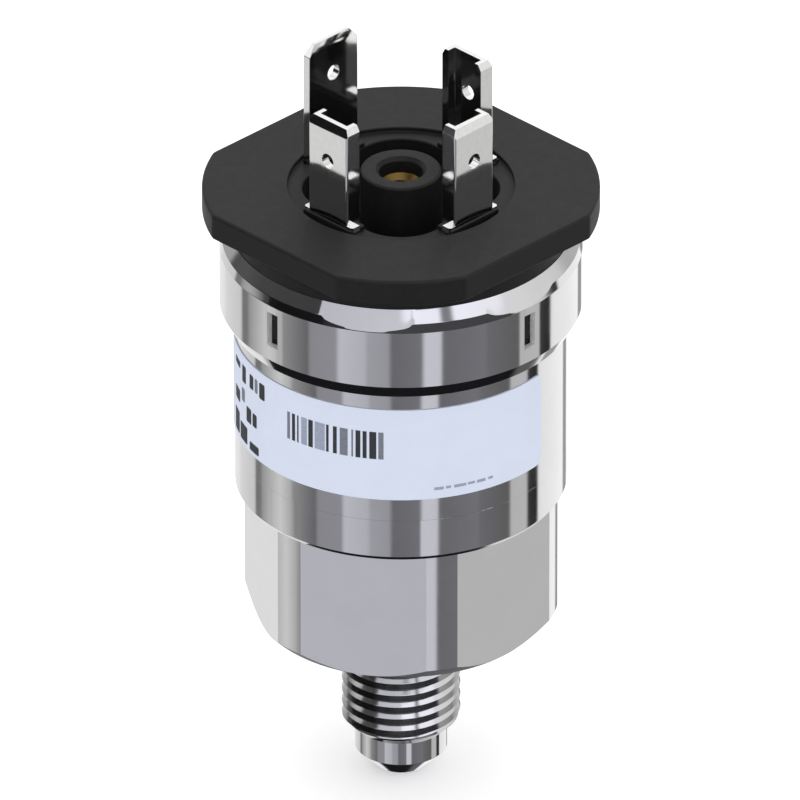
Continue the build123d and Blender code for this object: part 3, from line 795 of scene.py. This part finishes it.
def channel(name):
    f = FACE
    ro, ri = 0.20, 0.10
    outline = []
    outline += [(f - DEPTH, -W2)]
    outline += arc(f - ro, -W2 + ro, ro, -90, 0)
    outline += arc(f - ro, W2 - ro, ro, 0, 90)
    outline += [(f - DEPTH, W2), (f - DEPTH, W2 - T)]
    outline += arc(f - T - ri, W2 - T - ri, ri, 90, 0, 3)
    outline += arc(f - T - ri, -W2 + T + ri, ri, 0, -90, 3)
    outline += [(f - DEPTH, -W2 + T)]
    c = prism_object(name, outline, "z", 43.0, C_TOP)
    wedge = prism_object("cut", [(f - 0.3, C_TOP + 0.001), (f + 0.3, C_TOP + 0.001), (f + 0.3, C_TOP - 1.8)], "y", -6, 6)
    boolean(c, wedge, "DIFFERENCE")
    for s in (-1, 1):
        cut = prism_object("cut", [(s * (W2 - 0.35), C_TOP + 0.001), (s * (W2 + 0.35), C_TOP + 0.001),
                                   (s * (W2 + 0.35), C_TOP - 1.2)], "x", 5, 12)
        boolean(c, cut, "DIFFERENCE")
    boolean(c, prism_object("cut", circle(0, TOP_Z + 6.2, 0.75), "x", 5, 12), "DIFFERENCE")
    # stop shoulders at the foot
    for s in (-1, 1):
        ear = prism_object("ear", [(f - 1.0, s * (W2 - 0.3)), (f - 0.02, s * (W2 - 0.3)), (f - 0.02, s * (W2 + 0.45)),
                                   (f - 0.2, s * (W2 + 0.65)), (f - 1.0, s * (W2 + 0.65))], "z", 44.98, 45.53)
        boolean(c, ear, "UNION")
    tail = prism_object("tail", [(f - T, -1.3), (f, -1.3), (f, 1.3), (f - T, 1.3)], "z", 36.6, 43.4)
    boolean(c, tail, "UNION")
    boolean(c, prism_object("cut", circle(0, 37.8, 0.45), "x", 5, 12), "DIFFERENCE")
    return finish_metal(c)


def blade(name):
    f, w2, top_z = 9.65, 3.15, 57.4
    outline = [(-w2, 43.0), (w2, 43.0), (w2, top_z - 1.1), (w2 - 0.92, top_z), (-w2 + 0.92, top_z), (-w2, top_z - 1.1)]
    c = prism_object(name, outline, "x", f - T, f)
    for a, b in ((f, 1), (f - T, -1)):
        cut = prism_object("cut", [(a - b * 0.2, top_z + 0.001), (a + b * 0.3, top_z + 0.001), (a + b * 0.3, top_z - 2.4)],
                           "y", -6, 6)
        boolean(c, cut, "DIFFERENCE")
    boolean(c, prism_object("cut", circle(0, 53.6, 0.75), "x", 5, 12), "DIFFERENCE")
    tail = prism_object("tail", [(f - T, -1.3), (f, -1.3), (f, 1.3), (f - T, 1.3)], "z", 36.6, 43.4)
    boolean(c, tail, "UNION")
    boolean(c, prism_object("cut", circle(0, 37.8, 0.45), "x", 5, 12), "DIFFERENCE")
    return finish_metal(c)


for node, deg in (("contact_1", 0), ("contact_2", -90), ("contact_3", 90), ("earth_contact", 180)):
    c = blade("earth_blade") if node == "earth_contact" else channel("folded_" + node)
    c.data.transform(Matrix.Rotation(math.radians(deg), 4, "Z"))
    place(c, node, "contact_tin")

# ------------------------------------------------------------------ threaded bush
TB = angles(5.0)
bshape = [(0.0, 1.51), (0.03, 1.505), (0.06, 1.48), (0.18, 1.29), (0.22, 1.25), (0.28, 1.25), (0.32, 1.29), (0.44, 1.48),
          (0.47, 1.505)]
bv, bf, btop, blow = thread(TB, 44.95, 39.2, 0.5, bshape)
b_index = {round(t, 9): k for k, t in enumerate(TB)}
outer_bush = [(lambda t: btop[b_index[round(t, 9)]], 44.95), (1.78, 45.35), (1.85, BUSH_TOP), (2.56, BUSH_TOP), (2.6, 45.3),
              (2.6, 42.4), (2.2, 42.4), (2.2, 41.2), (2.6, 41.2), (2.6, 38.2), (0.0, 38.2)]
base_bush = [(0.0, 39.2), (lambda t: blow[b_index[round(t, 9)]], 39.2)]
v3, f3, _ = rings_to_mesh(TB, outer_bush, close=False)
v4, f4, _ = rings_to_mesh(TB, base_bush, close=False)
# the bush takes the darkened brass, painted shade standing in for the shade at the bottom of the hole
bush = settle(mesh_object("bush_body", v3 + v4 + bv,
                          f3 + [tuple(i + len(v3) for i in f) for f in f4] +
                          [tuple(i + len(v3) + len(v4) for i in f) for f in bf], [BRASS_SHADED], sharp=28))
place(bush, "threaded_bush", "brass")

# ------------------------------------------------------------------ label with plain generic print
LA0, LA1 = -268.4, 11.6
lv, lf = [], []
curved_box(lv, lf, 15.5, 15.6, LA0, LA1, 20.3, 29.9, 1.5, corner=0.8)
label = settle(mesh_object("label_sheet", lv, lf, [FILM], sharp=40))
place(label, "label", "label_film")

pv, pf, pm = [], [], []


def cam_deg(theta):
    """Angle from +X of a place theta degrees to the right of the camera direction."""
    return theta - 45.0


def ink(theta0, theta1, z0, z1, mat=0, corner=0.0):
    before = len(pf)
    curved_box(pv, pf, 15.595, 15.612, cam_deg(theta0), cam_deg(theta1), z0, z1, 1.5, corner)
    pm.extend([mat] * (len(pf) - before))


def mm(x):
    return math.degrees(x / 15.6)


# a plain rhythm of upright bars: width, ink, gap
bars = [(0.32, 1, 0.24), (0.34, 0, 0.24), (0.15, 0, 0.30), (0.60, 2, 0.16), (0.46, 0, 0.20), (1.00, 2, 0.14), (0.24, 0, 0.42),
        (0.36, 0, 0.28), (0.74, 1, 0.34), (0.16, 1, 0.22), (0.44, 0, 0.20), (0.36, 0, 0.24), (0.62, 0, 0.18), (0.46, 1, 0.20)]
x = -42.6
for wide, tone, gap in bars:
    ink(x, x + mm(1.06 * wide), 24.62, 27.5, tone)
    x += mm(1.06 * (wide + gap))
# blocks standing for larger and smaller print, left of the bars
blocks = [(-71.0, -67.6, 27.1, 28.9), (-64.4, -61.6, 27.3, 28.8), (-60.6, -58.7, 27.3, 28.8), (-57.6, -54.3, 27.1, 28.8),
          (-79.5, -73.3, 28.0, 28.7), (-79.5, -73.6, 24.3, 25.6), (-71.5, -68.6, 25.0, 26.4), (-67.0, -63.2, 23.4, 25.0),
          (-62.2, -59.3, 23.5, 24.9), (-80.0, -74.2, 20.9, 23.2), (-73.0, -66.4, 20.8, 22.6), (-64.4, -58.0, 20.7, 21.6)]
for k, (a, b, z0, z1) in enumerate(blocks):
    ink(a, b, z0, z1, 1 if k in (2, 6) else 0, corner=0.18)
# a thin broken line at the lower right
x = 11.4
k = 0
while x < 31.5:
    wd = mm([0.9, 0.5, 1.2, 0.7][k % 4])
    ink(x, x + wd, 21.2 + 0.04 * (k % 2), 21.5, 2)
    x += wd + mm([0.22, 0.30, 0.18][k % 3])
    k += 1
# plain ruled panel on the side that faces away
for r in range(5):
    z = 21.9 + 1.55 * r
    for a, b in ((-200, -186), (-183, -150), (-147, -128)):
        ink(a, b - (r % 3) * 3.5, z, z + 0.55, 1, corner=0.1)
ink(-118, -112, 21.9, 28.65, 0, corner=0.15)
ink(-109, -103, 21.9, 28.65, 1, corner=0.15)
printed = settle(mesh_object("label_print", pv, pf, [INK, INK_SOFT, INK_FAINT], pm, sharp=40), weighted=False)
place(printed, None, "label_film")

# ------------------------------------------------------------------ inner pieces keep their shape and get their finish
slot_of = {s["node"]: s["material_slot"] for s in frame["record"]["subparts"]}
for name, ob in frame["nodes"].items():
    finish = INNER[slot_of[name]]
    ob.data.materials.clear()
    ob.data.materials.append(finish)

# ------------------------------------------------------------------ floor
fm = bpy.data.meshes.new("floor")
S = 1.5
fm.from_pydata([(-S, -S, -16.92 * MM), (S, -S, -16.92 * MM), (S, S, -16.92 * MM), (-S, S, -16.92 * MM)], [], [(0, 1, 2, 3)])
floor = bpy.data.objects.new("floor", fm)
scene.collection.objects.link(floor)
floor_mat = material("floor_paper", (0.97, 0.97, 0.97), 0.0, 0.9, 0.02, 0.004, 40.0, bump=4.0, bump_size=1.5, spec=0.1)
lit = next(n for n in floor_mat.node_tree.nodes if n.type == "BSDF_PRINCIPLED")
lit.inputs["Emission Color"].default_value = (1.0, 1.0, 1.0, 1.0)
lit.inputs["Emission Strength"].default_value = 0.2
fm.materials.append(floor_mat)
floor.visible_glossy = False
